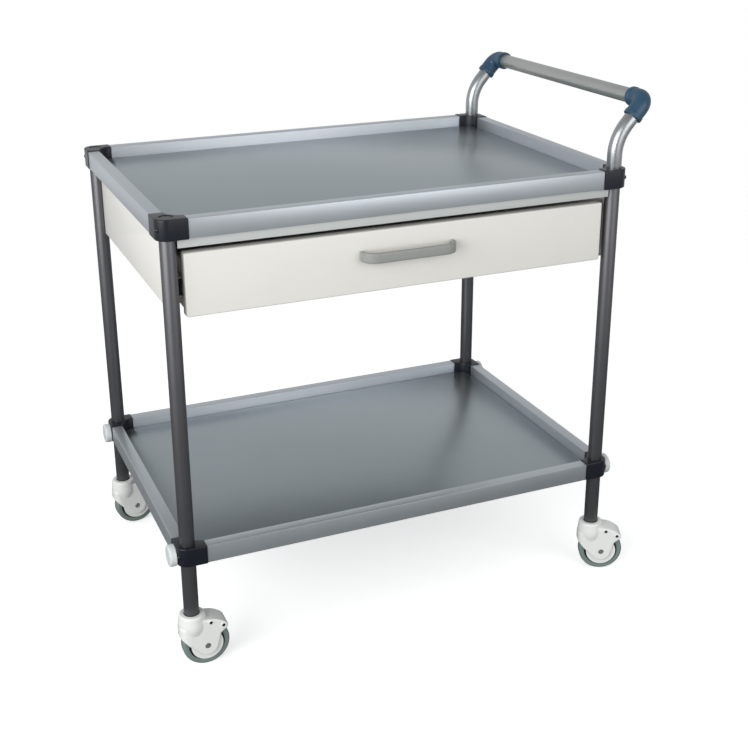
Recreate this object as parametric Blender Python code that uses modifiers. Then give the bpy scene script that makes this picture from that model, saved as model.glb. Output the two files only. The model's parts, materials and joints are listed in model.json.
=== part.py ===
# Ward trolley: two trays in aluminium frames, a drawer under the upper one, a push handle and castors.
# Metres, +Z up. The push handle is at +X and the drawer opens towards -Y.

import math

import bmesh
import bpy
from mathutils import Matrix, Vector

MM = 0.001
CLEARANCE = 0.3 * MM  # between pieces that touch
TUBE_SIDES = 16
SMALL_SIDES = 12

# Frame
FRAME_LENGTH = 800 * MM  # over the rails' outer faces
FRAME_DEPTH = 550 * MM
UPPER_RIM = 765 * MM
LOWER_RIM = 225 * MM
POST_INSET = 18 * MM  # a post's axis, in from the rails' outer faces
POST_RADIUS = 12.5 * MM
TUBE_WALL = 2 * MM
RAIL_WIDTH = 20 * MM
RAIL_HEIGHT = 30 * MM
RAIL_WALL = 1.6 * MM
LEDGE_REACH = 10 * MM  # the lip that carries the tray
LEDGE_THICKNESS = 1.6 * MM
TRAY_DROP = 20 * MM  # from the rim down to the tray
TRAY_THICKNESS = 1.2 * MM

# Corner blocks
CORNER_ARM = 28 * MM  # from the post's axis to the end of each arm
CORNER_PROUD = 1.2 * MM
CORNER_EDGE = 1.4 * MM
CORNER_CAP = 3 * MM  # over the ends of the left posts
CORNER_SCREW_RADIUS = 3.5 * MM
CORNER_SCREW_HEAD = 1.8 * MM
CORNER_SCREW_TURN = math.radians(30)  # a screw's direction, from the frame's long axis
SPIGOT_LENGTH = 18 * MM
BUFFER_RADIUS = 18 * MM
BUFFER_THICKNESS = 11 * MM
BUFFER_EDGE = 3 * MM
BUFFER_OFFSET = 9 * MM  # along the end, from the post's axis
BUFFER_DROP = 19 * MM  # from the rim down to a pad's middle
BUFFER_RECESS_RADIUS = 5 * MM
BUFFER_RECESS = 4 * MM

# Push handle
HANDLE_SWAGE_LENGTH = 40 * MM  # the narrowed end inside the post
HANDLE_SEAT = 7 * MM  # from the rim down to the post's open end
HANDLE_STRAIGHT = 22 * MM  # above the rim, before the bend
HANDLE_BEND_RADIUS = 75 * MM
HANDLE_LEAN = math.radians(41)
HANDLE_SLOPE = 52 * MM  # from the bend's end to the elbow's corner
ELBOW_RADIUS = 16.5 * MM
ELBOW_WAIST = 15.6 * MM
ELBOW_BEND_RADIUS = 17 * MM
ELBOW_ARM = 36 * MM  # from the corner to the end of each arm
ELBOW_COLLAR = 7 * MM
ELBOW_STEP = 0.8 * MM
SOCKET_DEPTH = 16 * MM

# Drawer case, hung inside the upper frame
CASE_WALL = 1.2 * MM
CASE_INSET = 4 * MM  # the side's outer face, in from the posts' axes
CASE_DEPTH_DROP = 156 * MM  # from the rim to the lower edge
CASE_FLANGE = 12 * MM
CASE_POST_GAP = 1.2 * MM
FASCIA_DROP = 46 * MM  # from the rim to the strip's lower edge
FASCIA_FRONT = 8 * MM  # the strip's face, out from the posts' axes
FASCIA_LIP = 9 * MM

# Drawer
FRONT_DROP = 56 * MM  # from the rim to the front's upper edge
FRONT_HEIGHT = 100 * MM
FRONT_THICKNESS = 20 * MM
FRONT_FACE = 5 * MM  # out from the posts' axes
FRONT_POST_GAP = 9 * MM
FRONT_EDGE = 1.5 * MM
FRONT_RETURN = 14 * MM  # the folded rim behind the front
BOX_WALL = 1.2 * MM
BOX_HEIGHT = 78 * MM
BOX_RISE = 6 * MM  # above the front's lower edge
BOX_BACK_GAP = 45 * MM  # free space behind the drawer
PULL_LENGTH = 164 * MM
PULL_HEIGHT = 17 * MM
PULL_THICKNESS = 7 * MM
PULL_REACH = 27 * MM
PULL_BEND = 19 * MM
PULL_DROP = 38 * MM  # below the front's upper edge
PULL_SCREW_RADIUS = 2 * MM
PULL_SCREW_HEAD_RADIUS = 4 * MM
PULL_SCREW_HEAD = 2.4 * MM
PULL_SCREW_GRIP = 7 * MM
RUNNER_HEIGHT = 34 * MM
RUNNER_WALL = 1.5 * MM
RUNNER_DEPTH = 11.5 * MM  # of the drawer's runners
RUNNER_POST_GAP = 0.7 * MM  # where they pass the front posts
RUNNER_GAP = 4 * MM  # from a case runner's edge to the web of the drawer's
RUNNER_RISE = 26 * MM  # above the case's lower edge
RUNNER_START = 6 * MM  # behind the case's front edge

# Castors
WHEEL_RADIUS = 40 * MM
TYRE_SIDES = 24
TYRE_WIDTH = 22 * MM
TYRE_DEPTH = 9.6 * MM
TYRE_CROWN = 5 * MM
HUB_RADIUS = 10 * MM
WEB_THICKNESS = 7 * MM
RIM_DEPTH = 4 * MM
AXLE_RADIUS = 4 * MM
AXLE_HEAD_RADIUS = 5.5 * MM
AXLE_HEAD = 2 * MM
AXLE_RECESS = 2.6 * MM
RIM_INSET = 1.4 * MM  # the rim's edge, in from the tyre's side
TYRE_LIP = 0.7 * MM  # the tyre's side, in from its widest line
CASTOR_TRAIL = 20 * MM
HEAD_RADIUS = 23.5 * MM
HEAD_TOP = 98 * MM  # above the floor
HEAD_DEPTH = 34 * MM  # the round part, above its taper
HEAD_EDGE = 5 * MM
HEAD_RECESS = 4.5 * MM
HEAD_RECESS_GAP = 1 * MM  # around the post
HEAD_SINK = 0.5 * MM  # the taper's foot, inside the cheeks
FORK_WIDTH = 38 * MM
FORK_EDGE = 4 * MM
SLOT_WIDTH = 27 * MM
TYRE_GAP = 2.2 * MM  # between the tyre and the hood
HOOD_WALL = 6.8 * MM
NOSE_ANGLE = 38  # degrees above the axle where the hood ends
CROWN_END = 95  # degrees, where the hood's crown runs into the head
NOSE_FOOT = 30 * MM  # from the axle to the inner end of the nose's lower edge
LIMB_REACH = 16.5 * MM  # from the swivel axis back to the cheeks' rear edge
LIMB_TOP = 20 * MM  # above the axle, where the rear edge starts to slant
LIMB_FOOT = (-28 * MM, 3 * MM)  # from the axle, where the slant ends
GUARD_RADIUS = 27 * MM
GUARD_DEPTH = 1.4 * MM  # the round guard, in from the slot's side
LEG_RADIUS = 18 * MM
PIN_RADIUS = 5.5 * MM
PIN_LENGTH = 10.5 * MM
STEM_FLANGE = 2 * MM
STEM_LENGTH = 46 * MM
STEM_GROOVE = 1.2 * MM
HOLE_REACH = 43.2 * MM  # from the axle to the holes in the hood
HOLE_ANGLES = (50, 81)
HOLE_RADIUS = 2.6 * MM
HOLE_DEPTH = 3.6 * MM
HOLE_RIM_RADIUS = 5 * MM
HOLE_RIM = 0.7 * MM
CASTOR_HEADINGS = {
    "front_left": 0.0,
    "front_right": math.radians(-24),
    "rear_left": math.radians(6),
    "rear_right": math.radians(-12),
}

# Worked out from the sizes above
POST_X = FRAME_LENGTH / 2 - POST_INSET
POST_Y = FRAME_DEPTH / 2 - POST_INSET
TUBE_BORE = POST_RADIUS - TUBE_WALL
FRONT_TOP = UPPER_RIM - FRONT_DROP
FRONT_BOTTOM = FRONT_TOP - FRONT_HEIGHT
FACE_Y = -POST_Y - FRONT_FACE
CASE_X = POST_X - CASE_INSET
CASE_Y = POST_Y - POST_RADIUS - CASE_POST_GAP
CASE_BOTTOM = UPPER_RIM - CASE_DEPTH_DROP
LEDGE_TOP = -TRAY_DROP - TRAY_THICKNESS - CLEARANCE  # from the rim
CASE_TOP = UPPER_RIM + LEDGE_TOP - LEDGE_THICKNESS - CLEARANCE
BLOCK_BOTTOM = -RAIL_HEIGHT - CORNER_PROUD  # from the rim
RUNNER_LINE = CASE_BOTTOM + RUNNER_RISE + RUNNER_HEIGHT / 2
BOX_X = POST_X - POST_RADIUS - RUNNER_POST_GAP - RUNNER_DEPTH - CLEARANCE
POST_BOTTOM = HEAD_TOP - HEAD_RECESS + CLEARANCE + STEM_FLANGE + CLEARANCE
SLOT_RADIUS = WHEEL_RADIUS + TYRE_GAP
AXLE_PLACE = Vector((CASTOR_TRAIL, 0, WHEEL_RADIUS))  # from the swivel axis at floor level
CASE_RUNNER_DEPTH = CASE_X - CASE_WALL - BOX_X - 2 * CLEARANCE - RUNNER_WALL - RUNNER_GAP
FRONT_HALF = POST_X - POST_RADIUS - FRONT_POST_GAP

CORNERS = {  # signs of x and y, and the turn of a block whose arms run towards +X and +Y
    "front_left": (-1, -1, 0),
    "front_right": (1, -1, math.pi / 2),
    "rear_right": (1, 1, math.pi),
    "rear_left": (-1, 1, -math.pi / 2),
}

LEFT_AND_RIGHT = (("left", -1), ("right", 1))
UPRIGHT = Matrix.Rotation(math.pi / 2, 4, "X")  # an outline's Y becomes Z, and its length runs along Y
SIDEWAYS = Matrix(((0, 0, 1, 0), (1, 0, 0, 0), (0, 1, 0, 0), (0, 0, 0, 1)))  # its length runs along X

FINISHES = {  # colour, roughness, metallic
    "dark_steel": ((0.12, 0.12, 0.125), 0.38, 0.9),
    "bright_steel": ((0.62, 0.63, 0.64), 0.22, 1.0),
    "satin_steel": ((0.30, 0.31, 0.30), 0.4, 0.9),
    "aluminium": ((0.42, 0.45, 0.48), 0.42, 0.9),
    "tray_steel": ((0.30, 0.33, 0.34), 0.32, 0.9),
    "navy_plastic": ((0.018, 0.026, 0.042), 0.42, 0.0),
    "blue_plastic": ((0.035, 0.075, 0.125), 0.4, 0.0),
    "cream_paint": ((0.78, 0.765, 0.72), 0.4, 0.0),
    "fascia_paint": ((0.62, 0.64, 0.63), 0.4, 0.2),
    "zinc": ((0.45, 0.46, 0.47), 0.4, 0.9),
    "grey_plastic": ((0.30, 0.31, 0.295), 0.45, 0.0),
    "pale_plastic": ((0.68, 0.70, 0.70), 0.45, 0.0),
    "white_plastic": ((0.82, 0.84, 0.81), 0.3, 0.0),
    "dark_plastic": ((0.03, 0.035, 0.035), 0.5, 0.0),
    "grey_rubber": ((0.20, 0.26, 0.25), 0.7, 0.0),
}


# Scene and collections

for leftover in list(bpy.data.objects):
    bpy.data.objects.remove(leftover)

parts = bpy.data.collections.new("ward_trolley")
cutters = bpy.data.collections.new("ward_trolley_cutters")
bpy.context.scene.collection.children.link(parts)
bpy.context.scene.collection.children.link(cutters)


def material(name, finish):
    colour, roughness, metallic = FINISHES[finish]
    made = bpy.data.materials.new(name)
    made.use_nodes = True
    made.diffuse_color = (*colour, 1)
    shader = made.node_tree.nodes["Principled BSDF"]
    shader.inputs["Base Color"].default_value = (*colour, 1)
    shader.inputs["Roughness"].default_value = roughness
    shader.inputs["Metallic"].default_value = metallic
    return made


def frame_empty(name, location=(0, 0, 0), turn=0.0, parent=None):
    empty = bpy.data.objects.new(name, None)
    empty.location = location
    empty.rotation_euler = (0, 0, turn)
    empty.parent = parent
    parts.objects.link(empty)
    return empty


def piece(name, mesh, finish, parent, location=(0, 0, 0), rotation=(0, 0, 0)):
    placed = bpy.data.objects.new(name, mesh)
    placed.location = location
    placed.rotation_euler = rotation
    placed.parent = parent
    parts.objects.link(placed)
    if not mesh.materials:
        mesh.materials.append(None)
    placed.material_slots[0].link = "OBJECT"
    placed.material_slots[0].material = material(name, finish)
    return placed


def cutter(name, mesh, parent, location=(0, 0, 0), rotation=(0, 0, 0)):
    placed = bpy.data.objects.new(name, mesh)
    placed.location = location
    placed.rotation_euler = rotation
    placed.parent = parent
    placed.hide_render = True
    placed.display_type = "WIRE"
    cutters.objects.link(placed)
    return placed


def cut(target, tool):
    boolean = target.modifiers.new(tool.name, "BOOLEAN")
    boolean.operation = "DIFFERENCE"
    boolean.solver = "EXACT"
    boolean.object = tool


# Outlines and solids

def polar(radius, degrees, centre=(0, 0)):
    turn = math.radians(degrees)
    return (centre[0] + radius * math.cos(turn), centre[1] + radius * math.sin(turn))


def arc(centre, radius, start, end, steps):
    """Points from start to end, in degrees, both ends included."""
    return [polar(radius, start + (end - start) * i / steps, centre) for i in range(steps + 1)]


def circle(radius, sides, centre=(0, 0)):
    return arc(centre, radius, 0, 360, sides)[:-1]


def rectangle(low, high):
    return [(low[0], low[1]), (high[0], low[1]), (high[0], high[1]), (low[0], high[1])]


def settled(mesh, keep_flats=False):
    """One closed skin, its flats in single faces and every face pointing out."""
    work = bmesh.new()
    work.from_mesh(mesh)
    bmesh.ops.remove_doubles(work, verts=work.verts, dist=0.001 * MM)
    if not keep_flats:
        bmesh.ops.dissolve_limit(work, angle_limit=math.radians(0.05), verts=work.verts, edges=work.edges)
    bmesh.ops.recalc_face_normals(work, faces=work.faces)
    work.to_mesh(mesh)
    work.free()
    return mesh


def baked(guide, keep_flats=False):
    """The mesh of a guide object with its modifiers applied. The guide is removed."""
    bpy.context.view_layer.update()
    graph = bpy.context.evaluated_depsgraph_get()
    mesh = bpy.data.meshes.new_from_object(guide.evaluated_get(graph))
    mesh.name = guide.name
    bpy.data.objects.remove(guide)
    return settled(mesh, keep_flats)


def guide_object(name, data):
    guide = bpy.data.objects.new(name, data)
    bpy.context.scene.collection.objects.link(guide)
    return guide


def plate(name, loops, thickness):
    """A flat outline in XY, with its holes, as thick along Z as asked and centred on it."""
    curve = bpy.data.curves.new(name, "CURVE")
    curve.dimensions = "2D"
    curve.fill_mode = "BOTH"
    curve.extrude = thickness / 2
    for loop in loops:
        spline = curve.splines.new("POLY")
        spline.points.add(len(loop) - 1)
        for point, (x, y) in zip(spline.points, loop):
            point.co = (x, y, 0, 1)
        spline.use_cyclic_u = True
    return baked(guide_object(name, curve))


def turned(name, profile, steps, closed=False):
    """A profile of (radius, height) points, from the top down its outer side, turned about Z."""
    mesh = bpy.data.meshes.new(name)
    work = bmesh.new()
    points = [work.verts.new((radius, 0, height)) for radius, height in profile]
    for first, second in zip(points, points[1:]):
        work.edges.new((first, second))
    if closed:
        work.edges.new((points[-1], points[0]))
    work.to_mesh(mesh)
    work.free()
    guide = guide_object(name, mesh)
    screw = guide.modifiers.new("turn", "SCREW")
    screw.steps = steps
    screw.render_steps = steps
    screw.use_merge_vertices = True
    screw.merge_threshold = 0.01 * MM
    return baked(guide, keep_flats=True)


def swept(name, path, radius, sides, scales=None, capped=True):
    """A round bar along a path, with an optional scale at each point."""
    curve = bpy.data.curves.new(name, "CURVE")
    curve.dimensions = "3D"
    curve.bevel_depth = radius
    curve.bevel_resolution = sides // 2 - 2
    curve.use_fill_caps = capped
    spline = curve.splines.new("POLY")
    spline.points.add(len(path) - 1)
    for index, (point, place) in enumerate(zip(spline.points, path)):
        point.co = (*place, 1)
        point.radius = scales[index] if scales else 1
    return baked(guide_object(name, curve), keep_flats=True)


def block(name, low, high):
    mesh = bpy.data.meshes.new(name)
    work = bmesh.new()
    size = Vector(high) - Vector(low)
    place = Matrix.Translation((Vector(high) + Vector(low)) / 2) @ Matrix.Diagonal((*size, 1))
    bmesh.ops.create_cube(work, size=1, matrix=place)
    work.to_mesh(mesh)
    work.free()
    return mesh


def rod(name, radius, start, end, sides=16):
    """A round bar between two points."""
    start, end = Vector(start), Vector(end)
    turn = (end - start).to_track_quat("Z", "Y").to_matrix().to_4x4()
    mesh = bpy.data.meshes.new(name)
    work = bmesh.new()
    bmesh.ops.create_cone(work, cap_ends=True, segments=sides, radius1=radius, radius2=radius,
                          depth=(end - start).length, matrix=Matrix.Translation((start + end) / 2) @ turn)
    work.to_mesh(mesh)
    work.free()
    return mesh


def combined(name, base, joins=(), cuts=()):
    """A mesh joined with some meshes, and then cut by others."""
    guide = guide_object(name, base)
    tools = []
    for operation, meshes in (("UNION", joins), ("DIFFERENCE", cuts)):
        for mesh in meshes:
            tool = guide_object(mesh.name, mesh)
            boolean = guide.modifiers.new(mesh.name, "BOOLEAN")
            boolean.operation = operation
            boolean.solver = "EXACT"
            boolean.object = tool
            tools.append(tool)
    mesh = baked(guide)
    for tool in tools:
        bpy.data.objects.remove(tool)
    return mesh


def edged(mesh, width, segments=2, angle=40):
    """A mesh whose sharp edges are rounded over."""
    guide = guide_object(mesh.name, mesh)
    bevel = guide.modifiers.new("edges", "BEVEL")
    bevel.width = width
    bevel.segments = segments
    bevel.limit_method = "ANGLE"
    bevel.angle_limit = math.radians(angle)
    bevel.use_clamp_overlap = True
    return baked(guide, keep_flats=True)


def walled(mesh, wall):
    """An open skin given its wall on the inside."""
    guide = guide_object(mesh.name, mesh)
    solidify = guide.modifiers.new("wall", "SOLIDIFY")
    solidify.thickness = wall
    solidify.offset = -1
    solidify.use_even_offset = True
    return baked(guide, keep_flats=True)


def folded(mesh, wall, side, flange=0.0):
    """A thin shell on the outside of a box, open on the side that faces the given way.

    A flange of the given width stays round the opening.
    """
    work = bmesh.new()
    work.from_mesh(mesh)
    work.normal_update()
    opening = [face for face in work.faces if face.normal.dot(Vector(side)) > 0.99]
    if flange:
        bmesh.ops.inset_individual(work, faces=opening, thickness=flange)
    bmesh.ops.delete(work, geom=opening, context="FACES")
    work.to_mesh(mesh)
    work.free()
    return walled(mesh, wall)


def aimed(place, way):
    """The matrix that puts a mesh's origin at a place, with its Z along the way."""
    return Matrix.Translation(place) @ Vector(way).to_track_quat("Z", "Y").to_matrix().to_4x4()


def smooth(mesh, angle=35):
    mesh.shade_smooth()
    mesh.set_sharp_from_angle(angle=math.radians(angle))
    return mesh


# Frame: posts, rails, trays and corner blocks

def corner_mesh(screw_angle):
    """A corner block about its post's axis, with arms towards +X and +Y and a spigot on each.

    The domed head of its clamping screw stands on its round side, at an angle in degrees.
    """
    outer = POST_INSET + CORNER_PROUD
    inner = RAIL_WIDTH - POST_INSET + CORNER_PROUD
    outline = [(CORNER_ARM, -outer)] + arc((0, 0), outer, -90, -180, 7)
    outline += [(-outer, CORNER_ARM), (inner, CORNER_ARM)]
    outline += arc((CORNER_ARM, CORNER_ARM), CORNER_ARM - inner, 180, 270, 6)[1:]
    shell = edged(plate("corner_block", [outline], RAIL_HEIGHT + 2 * CORNER_PROUD), CORNER_EDGE, 1, 60)
    across = RAIL_WIDTH / 2 - RAIL_WALL - CLEARANCE
    upright = RAIL_HEIGHT / 2 - RAIL_WALL - CLEARANCE
    middle = RAIL_WIDTH / 2 - POST_INSET
    start, end = CORNER_ARM - CORNER_PROUD, CORNER_ARM + SPIGOT_LENGTH
    spigots = [
        block("spigot_x", (start, middle - across, -upright), (end, middle + across, upright)),
        block("spigot_y", (middle - across, start, -upright), (middle + across, end, upright)),
    ]
    flatness = CORNER_SCREW_HEAD / CORNER_SCREW_RADIUS
    dome = [(x, outer + y * flatness) for x, y in arc((0, 0), CORNER_SCREW_RADIUS, 90, 0, 2)]
    base = outer - CORNER_SCREW_HEAD
    screw = turned("screw_head", dome + [(CORNER_SCREW_RADIUS, base), (0, base)], 8)
    screw.transform(aimed((0, 0, 0), (*polar(1, screw_angle), 0)))
    return combined("corner_block", shell, joins=spigots + [screw])


def rail_mesh(length):
    """A hollow rail along Z. Its outer face looks towards -X and its rim towards +Y."""
    left, right = -RAIL_WIDTH / 2, RAIL_WIDTH / 2
    low, high = -RAIL_HEIGHT / 2, RAIL_HEIGHT / 2
    ledge = high + LEDGE_TOP
    outline = [(left, high), (left, low), (right, low), (right, ledge - LEDGE_THICKNESS),
               (right + LEDGE_REACH, ledge - LEDGE_THICKNESS), (right + LEDGE_REACH, ledge),
               (right, ledge), (right, high)]
    cavity = rectangle((left + RAIL_WALL, low + RAIL_WALL), (right - RAIL_WALL, high - RAIL_WALL))
    return plate("rail", [outline, cavity], length)


def make_frame(root):
    length_x = 2 * (POST_X - CORNER_ARM - CLEARANCE)
    length_y = 2 * (POST_Y - CORNER_ARM - CLEARANCE)
    long_rail, short_rail = rail_mesh(length_x), rail_mesh(length_y)
    centre_x = FRAME_LENGTH / 2 - RAIL_WIDTH / 2
    centre_y = FRAME_DEPTH / 2 - RAIL_WIDTH / 2
    sides = {  # place of the rail, its mesh and its turn about Z
        "left": ((-centre_x, 0), short_rail, 0),
        "front": ((0, -centre_y), long_rail, math.pi / 2),
        "right": ((centre_x, 0), short_rail, math.pi),
        "rear": ((0, centre_y), long_rail, -math.pi / 2),
    }
    screw_turn = math.degrees(CORNER_SCREW_TURN)
    corners = {1: smooth(corner_mesh(180 + screw_turn)), -1: smooth(corner_mesh(270 - screw_turn))}
    tray_x = FRAME_LENGTH / 2 - RAIL_WIDTH - CORNER_PROUD - CLEARANCE
    tray_y = FRAME_DEPTH / 2 - RAIL_WIDTH - CORNER_PROUD - CLEARANCE
    round_off = CORNER_ARM + POST_INSET - RAIL_WIDTH - CORNER_PROUD - CLEARANCE
    tray_outline = []
    for sign_x, sign_y, start in ((1, 1, 0), (-1, 1, 90), (-1, -1, 180), (1, -1, 270)):
        centre = (sign_x * (tray_x - round_off), sign_y * (tray_y - round_off))
        tray_outline += arc(centre, round_off, start, start + 90, 6)
    tray = plate("tray", [tray_outline], TRAY_THICKNESS)

    for level, rim in (("upper", UPPER_RIM), ("lower", LOWER_RIM)):
        for side, (place, mesh, turn) in sides.items():
            rail = piece(f"{level}_rail_{side}", mesh, "aluminium", root)
            rail.matrix_local = (Matrix.Translation((*place, rim - RAIL_HEIGHT / 2))
                                 @ Matrix.Rotation(turn, 4, "Z") @ UPRIGHT)
        height = rim - TRAY_DROP - TRAY_THICKNESS / 2
        piece(f"{level}_tray", tray, "tray_steel", root, (0, 0, height))

    for name, (sign_x, sign_y, turn) in CORNERS.items():
        right = sign_x > 0
        place = (sign_x * POST_X, sign_y * POST_Y)
        blind_top = UPPER_RIM + CORNER_PROUD - CORNER_CAP
        post_top = UPPER_RIM - HANDLE_SEAT if right else blind_top - CLEARANCE
        tube = plate("post", [circle(POST_RADIUS, TUBE_SIDES), circle(TUBE_BORE, TUBE_SIDES)],
                     post_top - POST_BOTTOM)
        piece(f"post_{name}", smooth(tube), "dark_steel", root, (*place, (post_top + POST_BOTTOM) / 2))
        bore_top = UPPER_RIM + 2 * RAIL_HEIGHT if right else blind_top
        bore_bottom = LOWER_RIM - 2 * RAIL_HEIGHT
        bore_mesh = rod("post_bore", POST_RADIUS + CLEARANCE, (0, 0, bore_bottom), (0, 0, bore_top),
                        TUBE_SIDES)
        bore = cutter(f"bore_{name}", bore_mesh, root, (*place, 0))
        for level, rim in (("upper", UPPER_RIM), ("lower", LOWER_RIM)):
            height = rim - RAIL_HEIGHT / 2
            made = piece(f"{level}_corner_{name}", corners[sign_x * sign_y], "navy_plastic", root,
                         (*place, height), (0, 0, turn))
            cut(made, bore)


def make_buffers(root):
    """Round pads on the ends of the lower frame, each with a recess for its screw."""
    flat = BUFFER_RADIUS - BUFFER_EDGE
    floor = BUFFER_THICKNESS - BUFFER_RECESS
    profile = [(0, floor), (BUFFER_RECESS_RADIUS, floor), (BUFFER_RECESS_RADIUS, BUFFER_THICKNESS)]
    profile += arc((flat, BUFFER_THICKNESS - BUFFER_EDGE), BUFFER_EDGE, 90, 0, 2)
    profile += [(BUFFER_RADIUS, 0), (0, 0)]
    pad = turned("end_buffer", profile, TUBE_SIDES)
    seat = POST_X + POST_INSET + CORNER_PROUD + CLEARANCE
    smooth(pad)
    for name, (sign_x, sign_y, _) in CORNERS.items():
        place = (sign_x * seat, sign_y * (POST_Y - BUFFER_OFFSET), LOWER_RIM - BUFFER_DROP)
        piece(f"end_buffer_{name}", pad, "pale_plastic", root, place, (0, sign_x * math.pi / 2, 0))


# Push handle: two bent tubes, two elbows and a cross bar

def make_handle(root):
    slope = Vector((math.sin(HANDLE_LEAN), 0, math.cos(HANDLE_LEAN)))
    inset = ELBOW_ARM - SOCKET_DEPTH + CLEARANCE  # from an elbow's corner to a tube's end
    narrow = (TUBE_BORE - CLEARANCE) / POST_RADIUS
    waist = ELBOW_WAIST / ELBOW_RADIUS
    shoulder = CLEARANCE - HANDLE_SEAT
    for name, sign_y in (("front", -1), ("rear", 1)):
        foot = Vector((POST_X, sign_y * POST_Y, UPPER_RIM))
        upright = [foot + Vector((0, 0, height))
                   for height in (-HANDLE_SEAT - HANDLE_SWAGE_LENGTH, shoulder, shoulder + TUBE_WALL)]
        bend_centre = (HANDLE_BEND_RADIUS, HANDLE_STRAIGHT)
        bend = [foot + Vector((x, 0, z))
                for x, z in arc(bend_centre, HANDLE_BEND_RADIUS, 180, 180 - math.degrees(HANDLE_LEAN), 4)]
        corner = bend[-1] + slope * HANDLE_SLOPE
        path = upright + bend + [corner - slope * inset]
        scales = [narrow, narrow] + [1] * (len(path) - 2)
        tube = walled(swept("handle_tube", path, POST_RADIUS, TUBE_SIDES, scales, capped=False), TUBE_WALL)
        piece(f"handle_tube_{name}", smooth(tube), "bright_steel", root)

        across = Vector((0, -sign_y, 0))
        centre = corner + (across - slope) * ELBOW_BEND_RADIUS
        turn = [centre - across * x + slope * y for x, y in arc((0, 0), ELBOW_BEND_RADIUS, 0, 90, 4)]
        collar = [ELBOW_ARM, ELBOW_ARM - ELBOW_COLLAR, ELBOW_ARM - ELBOW_COLLAR - ELBOW_STEP]
        path = [corner - slope * reach for reach in collar] + turn
        path += [corner + across * reach for reach in reversed(collar)]
        scales = [1, 1] + [waist] * (len(path) - 4) + [1, 1]
        bores = [rod("bore", POST_RADIUS + CLEARANCE, corner + way * (ELBOW_ARM - SOCKET_DEPTH),
                     corner + way * 2 * ELBOW_ARM, TUBE_SIDES) for way in (-slope, across)]
        elbow = combined("elbow", swept("elbow", path, ELBOW_RADIUS, TUBE_SIDES, scales), cuts=bores)
        piece(f"handle_elbow_{name}", smooth(elbow), "blue_plastic", root)

    bar = plate("bar", [circle(POST_RADIUS, TUBE_SIDES), circle(TUBE_BORE, TUBE_SIDES)], 2 * (POST_Y - inset))
    piece("handle_bar", smooth(bar), "satin_steel", root, (corner.x, 0, corner.z), (math.pi / 2, 0, 0))


# Drawer case and drawer

def case_mesh():
    """A sheet folded round the left, rear and right sides, flanged above and below.

    It is cut out round the corner blocks.
    """
    x, y, wall = CASE_X, CASE_Y, CASE_WALL
    profile = [(0, CASE_BOTTOM), (0, CASE_TOP), (CASE_FLANGE, CASE_TOP), (CASE_FLANGE, CASE_TOP - wall),
               (wall, CASE_TOP - wall), (wall, CASE_BOTTOM + wall), (CASE_FLANGE, CASE_BOTTOM + wall),
               (CASE_FLANGE, CASE_BOTTOM)]
    work = bmesh.new()
    ribs = []
    for inset, height in profile:
        bends = ((inset - x, -y), (inset - x, y - inset), (x - inset, y - inset), (x - inset, -y))
        ribs.append([work.verts.new((*bend, height)) for bend in bends])
    for rib, after in zip(ribs, ribs[1:] + ribs[:1]):
        for side in range(3):
            work.faces.new((rib[side], rib[side + 1], after[side + 1], after[side]))
    for end in (0, -1):
        work.faces.new([rib[end] for rib in ribs])
    bmesh.ops.recalc_face_normals(work, faces=work.faces)
    sheet = bpy.data.meshes.new("case")
    work.to_mesh(sheet)
    work.free()
    near_x, near_y = POST_X - CORNER_ARM - CLEARANCE, POST_Y - CORNER_ARM - CLEARANCE
    notches = []
    for sign_x, sign_y, _ in CORNERS.values():
        low = (min(sign_x * near_x, sign_x * FRAME_LENGTH), min(sign_y * near_y, sign_y * FRAME_DEPTH),
               UPPER_RIM + BLOCK_BOTTOM - CLEARANCE)
        high = (max(sign_x * near_x, sign_x * FRAME_LENGTH), max(sign_y * near_y, sign_y * FRAME_DEPTH),
                UPPER_RIM)
        notches.append(block("notch", low, high))
    return combined("case", sheet, cuts=notches)


def runner_mesh(height, length, depth):
    """A C-shaped runner along Y that opens towards +X, its back on X = 0."""
    half, wall = height / 2, RUNNER_WALL
    outline = [(0, -half), (depth, -half), (depth, wall - half), (wall, wall - half),
               (wall, half - wall), (depth, half - wall), (depth, half), (0, half)]
    mesh = plate("runner", [outline], length)
    mesh.transform(UPRIGHT)
    return mesh


def make_case(root):
    piece("drawer_case", case_mesh(), "cream_paint", root)

    face, back = -POST_Y - FASCIA_FRONT, -CASE_Y - CLEARANCE
    top = UPPER_RIM + BLOCK_BOTTOM - CLEARANCE
    low = UPPER_RIM - FASCIA_DROP
    wall = CASE_WALL
    outline = [(face, low), (face + FASCIA_LIP, low), (face + FASCIA_LIP, low + wall),
               (face + wall, low + wall), (face + wall, top - wall), (back, top - wall), (back, top),
               (face, top)]
    strip = plate("fascia", [outline], 2 * (POST_X - POST_RADIUS - CLEARANCE))
    strip.transform(SIDEWAYS)
    piece("fascia_strip", strip, "fascia_paint", root)

    start, end = -CASE_Y + RUNNER_START, CASE_Y - CASE_WALL - RUNNER_START
    runner = runner_mesh(RUNNER_HEIGHT, end - start, CASE_RUNNER_DEPTH)
    for side, sign in LEFT_AND_RIGHT:
        place = (sign * (CASE_X - CASE_WALL - CLEARANCE), (start + end) / 2, RUNNER_LINE)
        piece(f"case_runner_{side}", runner, "zinc", root, place, (0, 0, math.pi if sign > 0 else 0))


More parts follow.
